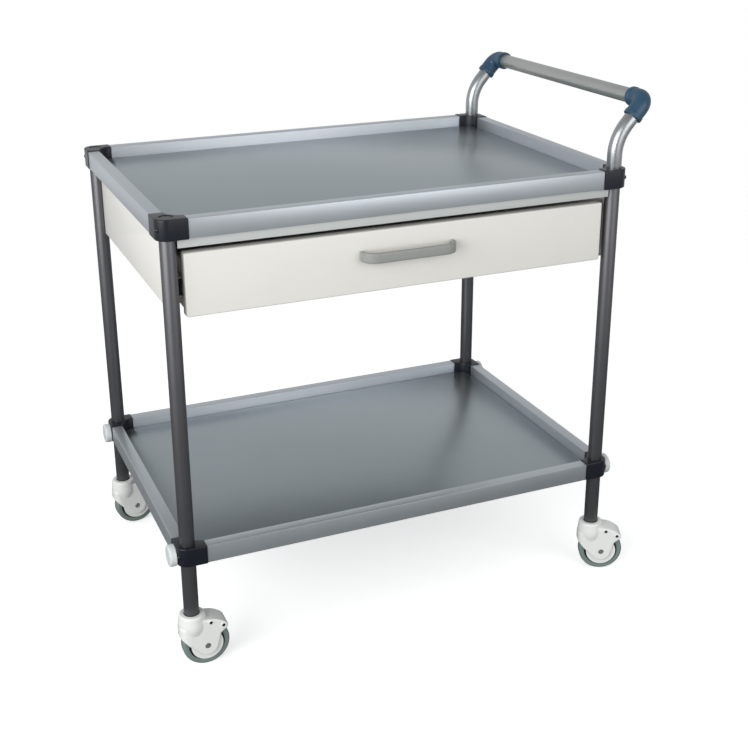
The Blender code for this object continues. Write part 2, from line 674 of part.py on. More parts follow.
def make_drawer(root):
    """The drawer about an origin on its front face, at the front's lower edge. Its pull keeps its screws."""
    drawer = frame_empty("drawer_slide", (0, FACE_Y, FRONT_BOTTOM), 0, root)
    front = block("front", (-FRONT_HALF, 0, 0), (FRONT_HALF, FRONT_THICKNESS, FRONT_HEIGHT))
    front = folded(edged(front, FRONT_EDGE), BOX_WALL, (0, 1, 0), FRONT_RETURN)
    front_piece = piece("drawer_front", smooth(front), "cream_paint", drawer)

    start = FRONT_THICKNESS + CLEARANCE
    end = CASE_Y - CASE_WALL - BOX_BACK_GAP - FACE_Y
    box = block("box", (-BOX_X, start, BOX_RISE), (BOX_X, end, BOX_RISE + BOX_HEIGHT))
    piece("drawer_box", folded(box, BOX_WALL, (0, 0, 1)), "cream_paint", drawer)

    runner = runner_mesh(RUNNER_HEIGHT - 2 * (RUNNER_WALL + CLEARANCE), end - start, RUNNER_DEPTH)
    for side, sign in LEFT_AND_RIGHT:
        place = (sign * (BOX_X + CLEARANCE), (start + end) / 2, RUNNER_LINE - FRONT_BOTTOM)
        piece(f"drawer_runner_{side}", runner, "zinc", drawer, place, (0, 0, math.pi if sign < 0 else 0))

    middle = FRONT_HEIGHT - PULL_DROP
    foot = (PULL_LENGTH - PULL_THICKNESS) / 2
    bar_line = -CLEARANCE - PULL_REACH + PULL_THICKNESS / 2
    half = [(-foot, -CLEARANCE)] + arc((-foot + PULL_BEND, bar_line + PULL_BEND), PULL_BEND, 180, 270, 5)
    path = half + [(-x, y) for x, y in reversed(half)]

    inside = BOX_WALL + CLEARANCE
    grip = -CLEARANCE - PULL_SCREW_GRIP
    head = inside + PULL_SCREW_HEAD
    profile = [(0, head), (PULL_SCREW_HEAD_RADIUS, head), (PULL_SCREW_HEAD_RADIUS, inside),
               (PULL_SCREW_RADIUS, inside), (PULL_SCREW_RADIUS, grip), (0, grip)]
    screws = []
    for side, sign in LEFT_AND_RIGHT:
        place = aimed((sign * foot, 0, 0), (0, 1, 0))
        screws.append(turned("pull_screw", profile, 8))
        screws[-1].transform(place)
        hole = rod("pull_hole", PULL_SCREW_RADIUS + CLEARANCE, (0, 0, grip), (0, 0, head), 8)
        hole.transform(place)
        cut(front_piece, cutter(f"pull_hole_{side}", hole, drawer, (0, 0, middle)))
    pull = combined("drawer_pull", flat_bar("bar", path, PULL_HEIGHT, PULL_THICKNESS), joins=screws)
    piece("drawer_pull", smooth(pull), "grey_plastic", drawer, (0, 0, middle))


def flat_bar(name, path, height, thickness):
    """A bar on edge along a path in XY, with rounded edges."""
    curve = bpy.data.curves.new(name, "CURVE")
    curve.dimensions = "3D"
    curve.twist_mode = "Z_UP"
    curve.bevel_depth = thickness / 2
    curve.extrude = (height - thickness) / 2
    curve.bevel_resolution = 1
    curve.use_fill_caps = True
    spline = curve.splines.new("POLY")
    spline.points.add(len(path) - 1)
    for point, (x, y) in zip(spline.points, path):
        point.co = (x, y, 0, 1)
    return baked(guide_object(name, curve), keep_flats=True)


# Castors, each about its swivel axis at floor level and trailing towards +X

def tangent_angle(point, radius, side):
    """Where a line from a point touches a circle about the origin, in degrees, on the given side."""
    away = math.atan2(point[1], point[0])
    return math.degrees(away + side * math.acos(radius / math.hypot(*point)))


def across_wheel(name, radius, low, high, sides):
    """A round bar about the axle's line, between two distances along it."""
    way = Vector((0, 1, 0))
    return rod(name, radius, AXLE_PLACE + low * way, AXLE_PLACE + high * way, sides)


def side_plate(name, outline, width):
    """An outline in XZ about the axle, as wide along Y as asked."""
    mesh = plate(name, [outline], width)
    mesh.transform(Matrix.Translation(AXLE_PLACE) @ UPRIGHT)
    return mesh


def fork_mesh():
    """The moulded hood: two cheeks and a crown over the wheel, joined to a round head."""
    half, slot = FORK_WIDTH / 2, SLOT_WIDTH / 2
    crown = SLOT_RADIUS + HOOD_WALL
    back = -CASTOR_TRAIL - HEAD_RADIUS
    run = (LIMB_FOOT[0] - back) / (LIMB_TOP - LIMB_FOOT[1])  # how far the rear slant runs for its height
    rear = -CASTOR_TRAIL - LIMB_REACH
    nose = polar(NOSE_FOOT, NOSE_ANGLE)
    outline = arc((0, 0), crown, NOSE_ANGLE, CROWN_END, 5)
    outline += [(rear, crown), (rear, LIMB_TOP - (rear - back) / run), LIMB_FOOT]
    leg_start = tangent_angle(LIMB_FOOT, LEG_RADIUS, 1)
    leg_end = tangent_angle(nose, LEG_RADIUS, -1) + 360
    outline += arc((0, 0), LEG_RADIUS, leg_start, leg_end, 6) + [nose]
    cheeks = edged(side_plate("cheeks", outline, FORK_WIDTH), FORK_EDGE, 2, 50)

    recess = POST_RADIUS + HEAD_RECESS_GAP
    seat = HEAD_TOP - HEAD_RECESS
    profile = [(0, seat), (recess, seat), (recess, HEAD_TOP)]
    profile += arc((HEAD_RADIUS - HEAD_EDGE, HEAD_TOP - HEAD_EDGE), HEAD_EDGE, 90, 0, 2)
    foot = WHEEL_RADIUS + LIMB_FOOT[1]
    profile += [(HEAD_RADIUS, HEAD_TOP - HEAD_DEPTH), (half - HEAD_SINK, foot), (0, foot)]
    head = turned("head", profile, TUBE_SIDES)

    rims, holes = [], []
    for angle in HOLE_ANGLES:
        way = Matrix.Rotation(math.radians(-angle), 4, "Y")
        for side in (-1, 1):
            place = AXLE_PLACE + way @ Vector((HOLE_REACH, 0, 0)) + Vector((0, side * half, 0))
            out = Vector((0, side, 0))
            rims.append(rod("rim", HOLE_RIM_RADIUS, place - out * HOLE_DEPTH, place + out * HOLE_RIM, 8))
            holes.append(rod("hole", HOLE_RADIUS, place - out * HOLE_DEPTH, place + out * half, 6))

    slant = [(back - CLEARANCE, LIMB_TOP), (back - CLEARANCE + run * LIMB_TOP, 0), (2 * back, 0),
             (2 * back, LIMB_TOP)]
    cuts = [across_wheel("slot", SLOT_RADIUS, -slot, slot, TYRE_SIDES),
            side_plate("slant", slant, 3 * HEAD_RADIUS),
            rod("pin_hole", PIN_RADIUS + CLEARANCE, (0, 0, seat - PIN_LENGTH), (0, 0, HEAD_TOP), SMALL_SIDES)]
    body = combined("fork", cheeks, [head], cuts)

    guard = slot - GUARD_DEPTH
    guards = []
    bores = [across_wheel("axle_hole", AXLE_RADIUS + CLEARANCE, -2 * half, 2 * half, SMALL_SIDES)]
    for side in (-1, 1):
        low, high = sorted((side * guard, side * (slot + CLEARANCE)))
        guards.append(across_wheel("guard", GUARD_RADIUS, low, high, TUBE_SIDES))
        low, high = sorted((side * (half - AXLE_RECESS), side * 2 * half))
        bores.append(across_wheel("recess", AXLE_HEAD_RADIUS + CLEARANCE, low, high, SMALL_SIDES))
    return combined("fork", body, rims + guards, holes + bores)


def core_mesh():
    hub = SLOT_WIDTH / 2 - GUARD_DEPTH - CLEARANCE
    web, edge = WEB_THICKNESS / 2, TYRE_WIDTH / 2 - RIM_INSET
    rim = WHEEL_RADIUS - TYRE_DEPTH - CLEARANCE
    upper = [(AXLE_RADIUS + CLEARANCE, hub), (HUB_RADIUS, hub), (HUB_RADIUS, web), (rim - RIM_DEPTH, web),
             (rim - RIM_DEPTH, edge), (rim, edge)]
    lower = [(radius, -height) for radius, height in reversed(upper)]
    return turned("wheel_core", upper + lower, SMALL_SIDES, closed=True)


def tyre_mesh():
    """A crowned tyre. One of its flats is at the bottom, so that the trolley stands on flats."""
    half = TYRE_WIDTH / 2
    upper = [(WHEEL_RADIUS - TYRE_DEPTH, half - TYRE_LIP)]
    upper += arc((WHEEL_RADIUS - TYRE_CROWN, half - TYRE_CROWN), TYRE_CROWN, 90, 0, 2)
    lower = [(radius, -height) for radius, height in reversed(upper)]
    mesh = turned("tyre", upper + lower, TYRE_SIDES, closed=True)
    mesh.transform(Matrix.Rotation(math.pi / TYRE_SIDES, 4, "Z"))
    return mesh


def stem_mesh():
    """The grooved plug that grips inside the post, its flange and the pin that the fork turns on."""
    flange = HEAD_TOP - HEAD_RECESS + CLEARANCE
    base, top = flange + STEM_FLANGE, flange + STEM_FLANGE + STEM_LENGTH
    plug = TUBE_BORE - CLEARANCE
    groove = (base + top) / 2
    profile = [(0, top), (plug - STEM_GROOVE, top), (plug, top - 2 * STEM_GROOVE),
               (plug, groove + STEM_GROOVE), (plug - STEM_GROOVE, groove), (plug, groove - STEM_GROOVE),
               (plug, base), (POST_RADIUS, base), (POST_RADIUS, flange), (PIN_RADIUS, flange),
               (PIN_RADIUS, flange - PIN_LENGTH), (0, flange - PIN_LENGTH)]
    return turned("castor_stem", profile, SMALL_SIDES)


def axle_mesh():
    seat = FORK_WIDTH / 2 - AXLE_RECESS + CLEARANCE
    end = seat + AXLE_HEAD
    half = [(0, end), (AXLE_HEAD_RADIUS, end), (AXLE_HEAD_RADIUS, seat), (AXLE_RADIUS, seat)]
    return turned("axle", half + [(radius, -height) for radius, height in reversed(half)], SMALL_SIDES)


def make_castors(root):
    fork, core, tyre = smooth(fork_mesh()), smooth(core_mesh()), smooth(tyre_mesh())
    stem, axle = smooth(stem_mesh()), smooth(axle_mesh())
    sideways = (math.pi / 2, 0, 0)
    for name, (sign_x, sign_y, _) in CORNERS.items():
        place = (sign_x * POST_X, sign_y * POST_Y, 0)
        piece(f"castor_stem_{name}", stem, "zinc", root, place)
        swivel = frame_empty(f"castor_swivel_{name}", place, CASTOR_HEADINGS[name], root)
        piece(f"castor_fork_{name}", fork, "white_plastic", swivel)
        piece(f"castor_axle_{name}", axle, "zinc", swivel, AXLE_PLACE, sideways)
        wheel = frame_empty(f"castor_wheel_{name}", AXLE_PLACE, 0, swivel)
        piece(f"wheel_core_{name}", core, "dark_plastic", wheel, rotation=sideways)
        piece(f"tyre_{name}", tyre, "grey_rubber", wheel, rotation=sideways)


def centre_on_footprint(root):
    """Stands the trolley on Z = 0 with the middle of its footprint on the origin."""
    bpy.context.view_layer.update()
    graph = bpy.context.evaluated_depsgraph_get()
    points = []
    for made in parts.objects:
        if made.type == "MESH":
            shown = made.evaluated_get(graph)
            points += [shown.matrix_world @ vertex.co for vertex in shown.data.vertices]
    low, high = [[pick(point[axis] for point in points) for axis in range(3)] for pick in (min, max)]
    root.location = (-(low[0] + high[0]) / 2, -(low[1] + high[1]) / 2, -low[2])
    bpy.context.view_layer.update()


trolley = frame_empty("trolley_origin")
make_frame(trolley)
make_buffers(trolley)
make_handle(trolley)
make_case(trolley)
make_drawer(trolley)
make_castors(trolley)
centre_on_footprint(trolley)
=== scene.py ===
# Ward trolley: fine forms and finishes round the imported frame. Metres, +Z up.
# The push handle is at +X and the drawer opens towards -Y.
import json
import math
import bmesh
import bpy
from mathutils import Matrix, Vector

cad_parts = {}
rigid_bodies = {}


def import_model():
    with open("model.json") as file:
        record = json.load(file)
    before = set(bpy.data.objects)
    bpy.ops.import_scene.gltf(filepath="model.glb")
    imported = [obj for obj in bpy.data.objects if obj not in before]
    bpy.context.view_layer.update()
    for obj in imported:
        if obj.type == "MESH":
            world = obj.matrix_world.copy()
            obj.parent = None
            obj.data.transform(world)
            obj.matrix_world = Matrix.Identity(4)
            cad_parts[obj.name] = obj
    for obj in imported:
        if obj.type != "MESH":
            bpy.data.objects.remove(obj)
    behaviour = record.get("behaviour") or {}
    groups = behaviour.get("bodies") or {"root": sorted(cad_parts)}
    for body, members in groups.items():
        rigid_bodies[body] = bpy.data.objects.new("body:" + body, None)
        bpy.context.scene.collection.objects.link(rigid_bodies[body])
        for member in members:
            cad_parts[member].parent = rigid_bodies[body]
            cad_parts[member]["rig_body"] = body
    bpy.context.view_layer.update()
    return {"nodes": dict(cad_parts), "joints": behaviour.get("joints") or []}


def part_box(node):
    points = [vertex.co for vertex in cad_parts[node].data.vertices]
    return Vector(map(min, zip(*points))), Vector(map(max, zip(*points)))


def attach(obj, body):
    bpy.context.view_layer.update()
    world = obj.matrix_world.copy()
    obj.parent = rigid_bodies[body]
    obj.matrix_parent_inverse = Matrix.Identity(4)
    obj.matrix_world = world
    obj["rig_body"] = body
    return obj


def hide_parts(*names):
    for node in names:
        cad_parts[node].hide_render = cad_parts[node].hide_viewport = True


for leftover in list(bpy.data.objects):
    bpy.data.objects.remove(leftover)
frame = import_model()
mm = 0.001
cornerNames = ("front_left", "front_right", "rear_right", "rear_left")
joints = {joint["name"]: joint for joint in frame["joints"]}
along = {"x": Vector((1, 0, 0)), "y": Vector((0, 1, 0)), "z": Vector((0, 0, 1))}
facing = 0.999  # normals that agree this well look the same way
touch = 0.01 * mm  # places nearer than this are the same
over = 1 * mm  # how far a cutting tool reaches past what it cuts
merge = {"outline": 0.001 * mm, "mesh": 0.005 * mm}
arcSteps = {"large": 24, "medium": 16, "small": 8}
flatAngle = 0.5  # faces that meet at fewer degrees become one
texture = {"grainDetail": 3, "markSize": 70 * mm, "markDetail": 2, "markShare": 0.5}  # grain under handling marks


# Selecting, modelling and finishing

def niceName(node):
    first, *others = node.split("_")
    return first + "".join(word.capitalize() for word in others)


def middle(node):
    low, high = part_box(node)
    return (low + high) / 2


def closeMesh():
    if bpy.context.mode != "OBJECT":
        bpy.ops.object.mode_set(mode="OBJECT")


def activate(piece):
    closeMesh()
    bpy.ops.object.select_all(action="DESELECT")
    piece.select_set(True)
    bpy.context.view_layer.objects.active = piece


def addPiece(name, operator, **settings):
    # A primitive with its place already in its mesh, left in edit mode with all of it selected
    closeMesh()
    bpy.ops.object.select_all(action="DESELECT")
    operator(**settings)
    piece = bpy.context.object
    piece.name = name
    bpy.ops.object.transform_apply(location=True, rotation=True, scale=True)
    bpy.ops.object.mode_set(mode="EDIT")
    bpy.ops.mesh.select_mode(type="FACE")
    bpy.ops.mesh.select_all(action="SELECT")
    return piece


def pick(kind, test):
    # Selects the open piece's faces or edges that pass a test
    bpy.ops.mesh.select_mode(type=kind)
    bpy.ops.mesh.select_all(action="DESELECT")
    mesh = bpy.context.object.data
    work = bmesh.from_edit_mesh(mesh)
    for item in (work.faces if kind == "FACE" else work.edges):
        if test(item):
            item.select_set(True)
    bmesh.update_edit_mesh(mesh)


def isLevel(edge):
    return abs(edge.verts[0].co.z - edge.verts[1].co.z) < touch


def push(way):
    bpy.ops.mesh.extrude_region_move(TRANSFORM_OT_translate={"value": tuple(way)})


def widen(scale, centre):
    bpy.ops.transform.resize(value=(scale, scale, scale), center_override=tuple(centre))


def spinRound(centre, axis, degrees, steps):
    # By the right-hand rule; the operator itself turns the other way
    bpy.ops.mesh.spin(steps=steps, angle=-math.radians(degrees), center=tuple(centre), axis=tuple(axis))


def boreEnd(way, wall, depth):
    tidyMesh()
    pick("FACE", lambda face: face.normal.dot(way) > facing)
    bpy.ops.mesh.inset(thickness=wall)
    push(-way * depth)


def drawOutline(name, start, strokes):
    # A pen in XY: straight lines to a point, and arcs of some degrees about a centre
    piece = addPiece(name, bpy.ops.mesh.primitive_plane_add, size=mm)
    bpy.ops.mesh.select_mode(type="VERT")
    bpy.ops.mesh.merge(type="CENTER")
    bpy.ops.transform.translate(value=(*start, 0))
    place = Vector((*start, 0))
    for stroke in strokes:
        if len(stroke) == 2:
            target = Vector((*stroke, 0))
            bpy.ops.mesh.extrude_vertices_move(TRANSFORM_OT_translate={"value": tuple(target - place)})
            place = target
        else:
            centre, degrees, steps = Vector((*stroke[0], 0)), stroke[1], stroke[2]
            spinRound(centre, along["z"], degrees, steps)
            place = centre + Matrix.Rotation(math.radians(degrees), 3, "Z") @ (place - centre)
    return piece


def fillOutline(low, high):
    # The outline as a plate between two heights
    bpy.ops.mesh.select_all(action="SELECT")
    bpy.ops.mesh.remove_doubles(threshold=merge["outline"])
    bpy.ops.mesh.edge_face_add()
    bpy.ops.transform.translate(value=(0, 0, low))
    bpy.ops.mesh.select_mode(type="FACE")
    push((0, 0, high - low))


def spinOutline(steps):
    # The outline turned fully about Y
    bpy.ops.mesh.select_all(action="SELECT")
    spinRound((0, 0, 0), along["y"], 360, steps)
    tidyMesh()


def tidyMesh():
    bpy.ops.mesh.select_all(action="SELECT")
    bpy.ops.mesh.remove_doubles(threshold=merge["mesh"])
    bpy.ops.mesh.normals_make_consistent(inside=False)


def modify(piece, kind, **settings):
    activate(piece)
    modifier = piece.modifiers.new(kind.lower(), kind)
    for key, value in settings.items():
        setattr(modifier, key, value)
    bpy.ops.object.modifier_apply(modifier=modifier.name)


def roundEdges(piece, width, segments=3, angle=40):
    modify(piece, "BEVEL", width=width, segments=segments, limit_method="ANGLE", angle_limit=math.radians(angle))


def carve(piece, tool, operation="DIFFERENCE"):
    modify(piece, "BOOLEAN", object=tool, operation=operation)
    bpy.data.objects.remove(tool)


def rod(name, radius, start, end, sides=48):
    start, end = Vector(start), Vector(end)
    turn = (end - start).to_track_quat("Z", "Y").to_euler()
    made = addPiece(name, bpy.ops.mesh.primitive_cylinder_add, vertices=sides, radius=radius,
                    depth=(end - start).length, location=(start + end) / 2, rotation=turn)
    closeMesh()
    return made


def copyOf(piece, name, matrix):
    made = piece.copy()
    made.data = piece.data.copy()
    made.name = name
    made.data.transform(matrix)
    bpy.context.scene.collection.objects.link(made)
    return made


def finishPiece(piece, finish, nodes, angle=40, body=None):
    # Smooths, dresses and seats a piece that stands for some of the frame's nodes
    activate(piece)
    bpy.ops.object.mode_set(mode="EDIT")
    tidyMesh()
    closeMesh()
    bpy.ops.object.shade_smooth_by_angle(angle=math.radians(angle))
    piece.data.materials.clear()
    piece.data.materials.append(materials[finish])
    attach(piece, body or frame["nodes"][nodes[0]]["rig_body"])
    if nodes:
        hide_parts(*nodes)
    return piece


def refine(node, finish, edge=0.0, segments=2):
    # A node's own shape, merged from its loose triangles, with its edges rounded
    piece = frame["nodes"][node].copy()
    piece.data = piece.data.copy()
    piece.name = niceName(node)
    piece.parent = None
    for key in list(piece.keys()):
        del piece[key]
    bpy.context.scene.collection.objects.link(piece)
    activate(piece)
    bpy.ops.mesh.customdata_custom_splitnormals_clear()
    bpy.ops.object.mode_set(mode="EDIT")
    tidyMesh()
    bpy.ops.mesh.dissolve_limited(angle_limit=math.radians(flatAngle))
    if edge:
        roundEdges(piece, edge, segments)
    return finishPiece(piece, finish, [node])


# Finishes

finishes = {
    # Steel tube, polished along its length, coloured a darker grey than the handle's tube: painted shade for the dark
    # reflections the posts show, with a soft upright gleam
    "shadedSteelTube": {"slot": "post_steel", "dark": "#606063", "light": "#6f6f72", "metallic": 0.85,
                      "roughness": (0.38, 0.50), "grain": (0.5, 0.5, 60), "bump": 0.004},
    # Bent steel tube, chrome plated and satin polished: bright, with dark edges
    "brightSteelTube": {"slot": "handle_steel", "dark": "#a8abae", "light": "#b4b7b9", "metallic": 1.0,
                        "roughness": (0.31, 0.37), "grain": (25, 25, 25), "bump": 0.0005},
    # Stainless tube, belt ground along its length: even satin grey
    "groundSteelTube": {"slot": "bar_steel", "dark": "#b0b2b0", "light": "#bfc1be", "metallic": 0.9,
                        "roughness": (0.32, 0.46), "grain": (0.5, 50, 0.5), "bump": 0.005},
    # Extruded aluminium, anodised: pale, with faint die lines along the rail
    "anodisedAlongX": {"slot": "aluminium", "dark": "#bcc2c8", "light": "#c8cdd2", "metallic": 0.85,
                       "roughness": (0.34, 0.44), "grain": (90, 0.8, 0.8), "bump": 0.004},
    "anodisedAlongY": {"slot": "aluminium", "dark": "#bcc2c8", "light": "#c8cdd2", "metallic": 0.85,
                       "roughness": (0.34, 0.44), "grain": (0.8, 90, 0.8), "bump": 0.004},
    # Rolled steel sheet, brushed along the tray: grey, with long soft streaks
    "brushedSheet": {"slot": "tray_steel", "dark": "#9fa8ad", "light": "#abb3b8", "metallic": 0.9,
                     "roughness": (0.24, 0.36), "grain": (120, 1.2, 1.2), "bump": 0.003},
    # Nylon, injection moulded in a spark-eroded mould: near black navy with a fine even tooth
    "navyNylon": {"slot": "navy_plastic", "dark": "#070d17", "light": "#0b1320", "metallic": 0.0,
                  "roughness": (0.30, 0.40), "grain": (0.7, 0.7, 0.7), "bump": 0.012},
    # The same nylon in blue, with a slightly deeper tooth
    "blueNylon": {"slot": "blue_plastic", "dark": "#26455e", "light": "#2e526b", "metallic": 0.0,
                  "roughness": (0.34, 0.44), "grain": (0.7, 0.7, 0.7), "bump": 0.015},
    # Steel screw, black painted and glossy
    "blackScrew": {"slot": "dark_plastic", "dark": "#0b0d10", "light": "#111418", "metallic": 0.0,
                   "roughness": (0.18, 0.26), "grain": (1, 1, 1), "bump": 0.002},
    # Steel sheet, powder coated: warm white with a slight orange peel
    "creamPowderCoat": {"slot": "cream_paint", "dark": "#e6e4de", "light": "#ebe9e4", "metallic": 0.0,
                        "roughness": (0.34, 0.44), "grain": (2.2, 2.2, 2.2), "bump": 0.012},
    # The same coat in pale grey
    "greyPowderCoat": {"slot": "fascia_paint", "dark": "#c6cac8", "light": "#d0d3d1", "metallic": 0.1,
                       "roughness": (0.34, 0.44), "grain": (2.2, 2.2, 2.2), "bump": 0.012},
    # Steel, zinc plated and passivated: cool grey with a slight cloud
    "zincPlate": {"slot": "zinc", "dark": "#acb0b2", "light": "#bfc2c4", "metallic": 0.95,
                  "roughness": (0.30, 0.46), "grain": (5, 5, 5), "bump": 0.003},
    # ABS, injection moulded: mid grey, softly matt
    "greyAbs": {"slot": "grey_plastic", "dark": "#8f918d", "light": "#9a9c97", "metallic": 0.0,
                "roughness": (0.38, 0.5), "grain": (0.8, 0.8, 0.8), "bump": 0.012},
    # The same ABS in a pale cool grey
    "paleAbs": {"slot": "pale_plastic", "dark": "#d4d9d9", "light": "#dee2e2", "metallic": 0.0,
                "roughness": (0.38, 0.5), "grain": (0.8, 0.8, 0.8), "bump": 0.012},
    # Nylon, moulded in a polished mould: glossy white with a green cast
    "whiteNylon": {"slot": "white_plastic", "dark": "#ebeeea", "light": "#f1f3f0", "metallic": 0.0,
                   "roughness": (0.20, 0.30), "grain": (4, 4, 4), "bump": 0.008},
    # Nylon, injection moulded in a spark-eroded mould, black and matt: painted shade, in the plugs that darken the
    # hood's holes and in the wheel core, which shows only in the shaded gap inside the tyre
    "shadeBlackNylon": {"slot": "dark_plastic", "dark": "#0f1415", "light": "#161c1d", "metallic": 0.0,
                   "roughness": (0.42, 0.55), "grain": (0.8, 0.8, 0.8), "bump": 0.015},
    # Thermoplastic rubber, moulded on to its core: matt grey-green
    "greyRubber": {"slot": "grey_rubber", "dark": "#73827f", "light": "#808e8b", "metallic": 0.0,
                   "roughness": (0.55, 0.7), "grain": (1.5, 1.5, 1.5), "bump": 0.03},
}


def toLinear(code):
    channels = [int(code[place:place + 2], 16) / 255 for place in (1, 3, 5)]
    return (*[c / 12.92 if c <= 0.04045 else ((c + 0.055) / 1.055) ** 2.4 for c in channels], 1)


def addNode(tree, kind, sockets=None, links=None):
    node = tree.nodes.new(kind)
    for key, value in (sockets or {}).items():
        node.inputs[key].default_value = value
    for key, source in (links or {}).items():
        tree.links.new(source, node.inputs[key])
    return node


def makeMaterial(name, finish):
    material = bpy.data.materials.new(name)
    material.use_nodes = True
    tree = material.node_tree
    tree.nodes.clear()
    place = addNode(tree, "ShaderNodeTexCoord")
    grain = addNode(tree, "ShaderNodeMapping", {"Scale": [1 / (size * mm) for size in finish["grain"]]},
                    {"Vector": place.outputs["Object"]})
    fine = addNode(tree, "ShaderNodeTexNoise", {"Scale": 1, "Detail": texture["grainDetail"]},
                   {"Vector": grain.outputs["Vector"]})
    marks = addNode(tree, "ShaderNodeTexNoise", {"Scale": 1 / texture["markSize"], "Detail": texture["markDetail"]},
                    {"Vector": place.outputs["Object"]})
    blend = addNode(tree, "ShaderNodeMath", {1: 1 - texture["markShare"]}, {0: fine.outputs["Fac"]})
    blend.operation = "MULTIPLY"
    total = addNode(tree, "ShaderNodeMath", {1: texture["markShare"]},
                    {0: marks.outputs["Fac"], 2: blend.outputs["Value"]})
    total.operation = "MULTIPLY_ADD"
    colour = addNode(tree, "ShaderNodeMixRGB",
                     {"Color1": toLinear(finish["dark"]), "Color2": toLinear(finish["light"])},
                     {"Fac": total.outputs["Value"]})
    rough = addNode(tree, "ShaderNodeMapRange",
                    {"To Min": finish["roughness"][0], "To Max": finish["roughness"][1]},
                    {"Value": total.outputs["Value"]})
    bump = addNode(tree, "ShaderNodeBump", {"Strength": 1, "Distance": finish["bump"] * mm},
                   {"Height": fine.outputs["Fac"]})
    shader = addNode(tree, "ShaderNodeBsdfPrincipled", {"Metallic": finish["metallic"]},
                     {"Base Color": colour.outputs["Color"], "Roughness": rough.outputs["Result"],
                      "Normal": bump.outputs["Normal"]})
    addNode(tree, "ShaderNodeOutputMaterial", links={"Surface": shader.outputs["BSDF"]})
    return material


materials = {name: makeMaterial(name, finish) for name, finish in finishes.items()}
print("materials made:", len(materials))


# Posts and the push handle

tube = {"radius": 12.5 * mm, "wall": 2 * mm, "sides": 64, "edge": 0.4 * mm, "edgeSteps": 2,
        "openDepth": 15 * mm}
handle = {"swageRadius": 10.2 * mm, "swageFoot": -47 * mm, "shoulder": -6.7 * mm, "shoulderRise": 2 * mm,
          "straight": 22 * mm, "bendRadius": 75 * mm, "lean": 41, "slope": 52 * mm, "tubeEnd": 20.3 * mm,
          "bendSteps": 20}
elbow = {"radius": 16.5 * mm, "waist": 15.6 * mm, "bendRadius": 17 * mm, "arm": 36 * mm, "collar": 7 * mm,
         "step": 0.8 * mm, "bore": 12.8 * mm, "socket": 16 * mm, "edge": 0.9 * mm, "edgeSteps": 4,
         "edgeAngle": 20}
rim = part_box("upper_rail_right")[1].z


def makeStraightTube(node, way, finish):
    low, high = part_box(node)
    half = way * ((high - low).dot(way) / 2)
    piece = rod(niceName(node), tube["radius"], middle(node) - half, middle(node) + half, tube["sides"])
    bpy.ops.object.mode_set(mode="EDIT")
    pick("FACE", lambda face: abs(face.normal.dot(way)) > facing)
    bpy.ops.mesh.inset(thickness=tube["wall"])
    bpy.ops.mesh.bridge_edge_loops()
    roundEdges(piece, tube["edge"], tube["edgeSteps"])
    finishPiece(piece, finish, [node])


def makeHandleSide(side, sign):
    post = middle(f"post_{side}_right")
    foot = Vector((post.x, post.y, rim))
    lean = math.radians(handle["lean"])
    slope = Vector((math.sin(lean), 0, math.cos(lean)))
    node = f"handle_tube_{side}"
    piece = addPiece(niceName(node), bpy.ops.mesh.primitive_circle_add, vertices=tube["sides"],
                     radius=handle["swageRadius"], fill_type="NGON",
                     location=foot + along["z"] * handle["swageFoot"])
    push((0, 0, handle["shoulder"] - handle["swageFoot"]))
    push((0, 0, handle["shoulderRise"]))
    height = handle["shoulder"] + handle["shoulderRise"]
    widen(tube["radius"] / handle["swageRadius"], foot + along["z"] * height)
    push((0, 0, handle["straight"] - height))
    bendCentre = foot + Vector((handle["bendRadius"], 0, handle["straight"]))
    spinRound(bendCentre, along["y"], handle["lean"], handle["bendSteps"])
    bendEnd = bendCentre + Matrix.Rotation(lean, 3, "Y") @ Vector((-handle["bendRadius"], 0, 0))
    push(slope * (handle["slope"] - handle["tubeEnd"]))
    boreEnd(slope, tube["wall"], tube["openDepth"])
    roundEdges(piece, tube["edge"], tube["edgeSteps"])
    finishPiece(piece, "brightSteelTube", [node])
    return bendEnd + slope * handle["slope"], slope, Vector((0, -sign, 0))


def makeElbow(side, corner, slope, across):
    node = f"handle_elbow_{side}"
    ratio = elbow["waist"] / elbow["radius"]
    plain = elbow["arm"] - elbow["collar"] - elbow["step"] - elbow["bendRadius"]
    piece = addPiece(niceName(node), bpy.ops.mesh.primitive_circle_add, vertices=tube["sides"],
                     radius=elbow["radius"], fill_type="NGON", location=corner - slope * elbow["arm"],
                     rotation=slope.to_track_quat("Z", "Y").to_euler())
    push(slope * elbow["collar"])
    push(slope * elbow["step"])
    widen(ratio, corner - slope * (plain + elbow["bendRadius"]))
    push(slope * plain)
    spinRound(corner + (across - slope) * elbow["bendRadius"], slope.cross(across), 90, arcSteps["large"])
    push(across * plain)
    push(across * elbow["step"])
    widen(1 / ratio, corner + across * (elbow["arm"] - elbow["collar"]))
    push(across * elbow["collar"])
    for way in (-slope, across):
        boreEnd(way, elbow["radius"] - elbow["bore"], elbow["socket"])
    roundEdges(piece, elbow["edge"], elbow["edgeSteps"], elbow["edgeAngle"])
    finishPiece(piece, "blueNylon", [node])


# The posts take the darker steel: painted shade for their dark reflections
for cornerName in cornerNames:
    makeStraightTube(f"post_{cornerName}", along["z"], "shadedSteelTube")
for handleSide, handleSign in (("front", -1), ("rear", 1)):
    makeElbow(handleSide, *makeHandleSide(handleSide, handleSign))
makeStraightTube("handle_bar", along["y"], "groundSteelTube")
print("posts and handle made")


# Rails, trays and corner blocks

